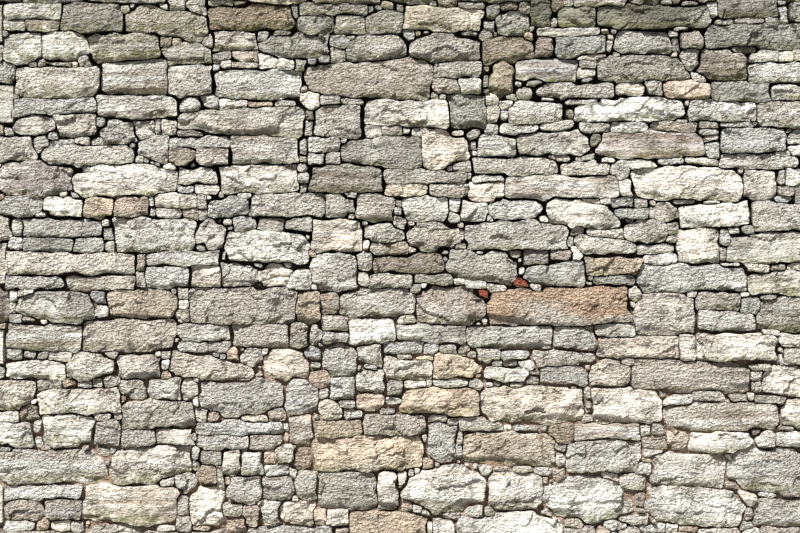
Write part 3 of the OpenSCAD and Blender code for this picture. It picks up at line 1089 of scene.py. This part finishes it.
def mix(tree, share, first, second, kind="MIX"):
    """Two colours mixed, each a socket or a 0 to 255 sRGB colour."""
    made = add_node(tree, "Mix", data_type="RGBA", blend_type=kind)
    for title, value in (("Factor", share), ("A", first), ("B", second)):
        if isinstance(value, tuple):
            value = (*linear(value), 1)
        fill(tree, next(i for i in made.inputs if i.name == title and i.enabled), value)
    return next(o for o in made.outputs if o.enabled)


def new_material(name, roughness):
    """A plain material, with its node tree and its shader."""
    made = bpy.data.materials.new(name)
    made.use_nodes = True
    shader = made.node_tree.nodes["Principled BSDF"]
    shader.inputs["Roughness"].default_value = roughness
    return made, made.node_tree, shader


def finish_shader(tree, shader, colour, height, depth):
    """Colour for a shader, and bump from a height between 0 and 1 that stands for that many metres."""
    bump = add_node(tree, "Bump", Strength=1.0, Distance=depth, Height=height)
    fill(tree, shader.inputs["Base Color"], colour)
    fill(tree, shader.inputs["Normal"], bump.outputs["Normal"])


def stone_material(name, depth=0.044, moss_scale=34.0):
    """Weathered split limestone. Its base colour comes from the tone that each stone carries."""
    made, tree, shader = new_material(name, 0.92)
    shader.inputs["Specular IOR Level"].default_value = 0.25
    place = add_node(tree, "TexCoord").outputs["Object"]
    tone, number = add_node(tree, "VertexColor", layer_name="tone").outputs
    marks = add_node(tree, "VertexColor", layer_name="marks").outputs["Color"]
    moss, earth, banding = add_node(tree, "SeparateColor", Color=marks).outputs
    # Each stone's number moves its pattern, so that no pattern runs on from stone to stone
    own = moved_on(tree, number, (37.0, 53.0, 71.0), place)
    # Patterns: thin bedding bands, broad blotches, chips, ridges, long cracks and grain
    bands = noise_node(tree, stretched(tree, own, 3.0, 42.0), 1.0, 4.0, 0.65)
    blotches = noise_node(tree, own, 11.0, 4.0, 0.62)
    chips = cells(tree, warped(tree, stretched(tree, own, 58.0, 98.0), 1.3, 0.7), 1.0, 1.0)
    ridges = noise_node(tree, stretched(tree, own, 60.0, 122.0), 1.0, 3.0, 0.63)
    grain = noise_node(tree, own, 125.0, 1.0, 0.5)
    level = noise_node(tree, stretched(tree, own, 7.0, 24.0), 1.0, 3.0, 0.6)
    off_level = maths(tree, "ABSOLUTE", centred(tree, level), 0.0)
    cracks = ramp(tree, off_level, 0.0, 0.024, 1.0, 0.0)
    cracks = maths(tree, "MULTIPLY", cracks, ramp(tree, blotches, 0.4, 0.52, 1.0, 0.0))
    # Some stones, and some parts of a stone, are smoother than others
    broken = added(tree, noise_node(tree, own, 9.0, 2.0, 0.5), number, 0.5)
    broken = ramp(tree, broken, 0.52, 0.98, 0.2, 1.35)
    fine = maths(tree, "MULTIPLY", centred(tree, ridges), 0.9)
    fine = added(tree, fine, chips, 0.6)
    fine = added(tree, fine, centred(tree, grain), 0.3)
    height = maths(tree, "MULTIPLY", bands, 0.5)
    height = added(tree, height, fine, broken)
    # Colour: blotches, dark bands, painted shade in hollows and pits, a painted highlight on what stands
    # out, and dark cracks
    shade = mix(tree, ramp(tree, blotches, 0.32, 0.62), (228, 225, 220), (255, 255, 252))
    colour = mix(tree, 0.9, tone, shade, "MULTIPLY")
    band_dark = maths(tree, "MULTIPLY", ramp(tree, bands, 0.42, 0.6, 1.0, 0.0), banding)
    colour = mix(tree, band_dark, colour, (196, 188, 180), "MULTIPLY")
    # Painted highlight: the raised ridges are made paler
    painted_highlight = add_node(tree, "VectorMath", colour, operation="SCALE", Scale=1.15)
    colour = mix(tree, ramp(tree, ridges, 0.52, 0.64), colour, painted_highlight.outputs["Vector"])
    # Painted shade: hollows and pits, where the bump lies low, are darkened
    hollow_shade = ramp(tree, ridges, 0.3, 0.45, 0.55, 0.0)
    pit_shade = ramp(tree, grain, 0.3, 0.42, 0.7, 0.0)
    cracked = maths(tree, "MULTIPLY", cracks, 0.8)
    for share, shade in ((hollow_shade, (160, 153, 142)), (pit_shade, (130, 118, 102)), (cracked, (110, 98, 82))):
        colour = mix(tree, share, colour, shade, "MULTIPLY")
    # Earth and moss lie over them in patches; on undersides the moss also stands for painted shade
    soil_patches = ramp(tree, noise_node(tree, place, 24.0, 3.0, 0.6), 0.35, 0.6)
    soil = maths(tree, "MULTIPLY", earth, soil_patches)
    colour = mix(tree, maths(tree, "MULTIPLY", soil, 0.75), colour, (208, 186, 168))
    moss_patches = ramp(tree, noise_node(tree, place, moss_scale, 4.0, 0.7), 0.38, 0.6)
    green = maths(tree, "MULTIPLY", moss, moss_patches)
    colour = mix(tree, maths(tree, "MULTIPLY", green, 0.8), colour, (112, 112, 62))
    finish_shader(tree, shader, colour, added(tree, height, cracks, -0.15), depth)
    return made


def core_material():
    """Small rubble and earth inside the wall."""
    made, tree, shader = new_material("hearting", 0.95)
    place = add_node(tree, "TexCoord").outputs["Object"]
    patches = ramp(tree, noise_node(tree, place, 30.0), 0.35, 0.65)
    colour = mix(tree, patches, (96, 74, 58), (150, 122, 98))
    finish_shader(tree, shader, colour, cells(tree, place, 24.0), 0.01)
    return made


# The wall
face_paint = stone_material("weathered_stone")
head_stone = stone_material("head_stone", 0.03)
cope_stone = stone_material("coping_stone", 0.03, 7.0)
front_ends = build_face(-1, [seen_stone(row) for row in SEEN_STONES], FRONT_GRID, 5, face_paint)
back_ends = build_face(1, [], BACK_GRID, 9, face_paint)
for name in THROUGHS:
    both_ends = Shell()
    both_ends.stones = front_ends[name].stones + back_ends[name].stones
    both_ends.piece(name + "_stone", face_paint, "through_stone", [name])
build_heads(head_stone, np.random.default_rng(21))
build_coping(cope_stone, np.random.default_rng(33))
core = core_material()
for lift in range(1, LIFTS + 1):
    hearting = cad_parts[f"hearting_{lift}"]
    hearting.data.materials.clear()
    hearting.data.materials.append(core)

# The floor, a square plane
FLOOR_HALF = 30.0
floor_mesh = bpy.data.meshes.new("floor")
floor_corners = [(FLOOR_HALF * x, FLOOR_HALF * y, 0) for x, y in ((-1, -1), (1, -1), (1, 1), (-1, 1))]
floor_mesh.from_pydata(floor_corners, [], [(0, 1, 2, 3)])
floor = put("floor", floor_mesh)
floor_paint, _, floor_shader = new_material("floor", 0.9)
floor_shader.inputs["Base Color"].default_value = (0.27, 0.27, 0.262, 1)
floor_mesh.materials.append(floor_paint)


def sun(name, azimuth, height, strength, softness):
    """A distant soft lamp, in degrees: azimuth from the seen face's front, towards +X, and height."""
    light = bpy.data.lights.new(name, "SUN")
    light.energy = strength
    light.angle = math.radians(softness)
    put(name, light).rotation_euler = (math.radians(90 - height), 0, math.radians(azimuth))


# Light: an even sky with a soft key from above the seen face and a fill behind
SKY_LIGHT = 0.17
SKY_SEEN = 0.74
scene = bpy.context.scene
world = bpy.data.worlds.new("sky")
scene.world = world
world.use_nodes = True
sky = world.node_tree
background = sky.nodes["Background"].inputs
background["Color"].default_value = (0.98, 0.99, 1.0, 1)
# The sky gives little light, but is seen as a pale background
ray = add_node(sky, "LightPath").outputs
seen = maths(sky, "ADD", ray["Is Camera Ray"], ray["Is Glossy Ray"])
seen = maths(sky, "ADD", seen, ray["Is Transmission Ray"])
fill(sky, background["Strength"], ramp(sky, seen, 0.0, 1.0, SKY_LIGHT, SKY_SEEN))
sun("key", azimuth=-28, height=48, strength=6.8, softness=6)
sun("back_fill", azimuth=150, height=25, strength=3.4, softness=25)

# Camera: square on to the seen face, framed as the picture is
VIEW_WIDTH = 3.2
VIEW_MIDDLE = 1.162
VIEW_DISTANCE = 6.5
camera_data = bpy.data.cameras.new("camera")
camera_data.sensor_width = 36.0
camera_data.lens = camera_data.sensor_width * VIEW_DISTANCE / VIEW_WIDTH
camera = put("camera", camera_data)
camera.location = (0, -half_thickness(VIEW_MIDDLE) - VIEW_DISTANCE, VIEW_MIDDLE)
camera.rotation_euler = (math.radians(90), 0, 0)
scene.camera = camera
scene.view_settings.view_transform = "Standard"
